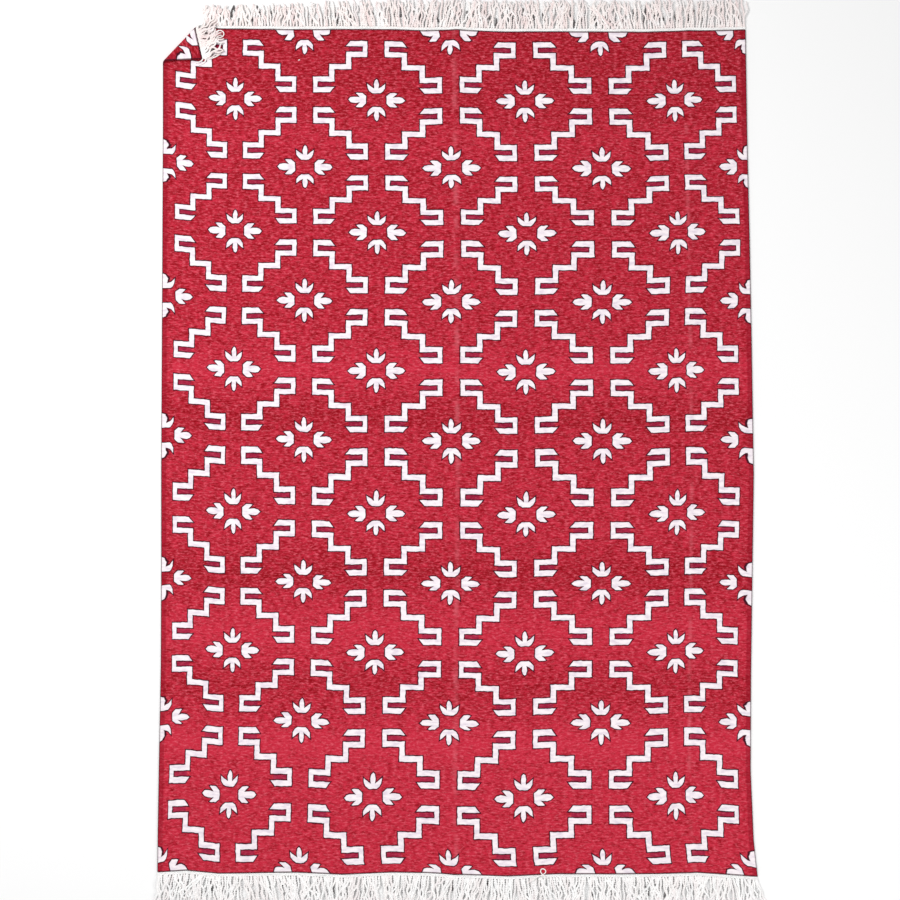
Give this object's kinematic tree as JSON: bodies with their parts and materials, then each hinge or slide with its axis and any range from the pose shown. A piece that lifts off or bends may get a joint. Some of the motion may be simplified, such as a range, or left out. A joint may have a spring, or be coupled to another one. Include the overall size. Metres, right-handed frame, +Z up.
{
  "type": "cotton rug",
  "caption": "Flat-woven red cotton rug with a white stepped lattice, fringed ends and one corner turned over.",
  "frame": {"origin": "on the floor under the middle of the rug's outline, fringes included", "axes": "+Z up from the floor, +Y along the length towards the end with the turned corner, +X to the right seen from above"},
  "size_m": [1.2319, 1.8657, 0.014],
  "materials": {
    "woven_cotton": "flat-woven cotton, red with an undyed white pattern, matte",
    "fringe_cotton": "undyed twisted cotton yarn, matte"
  },
  "bodies": {
    "root": {"rug": "woven_cotton", "fringe_near": "fringe_cotton", "fringe_far": "fringe_cotton", "fringe_corner": "fringe_cotton"}
  },
  "joints": []
}
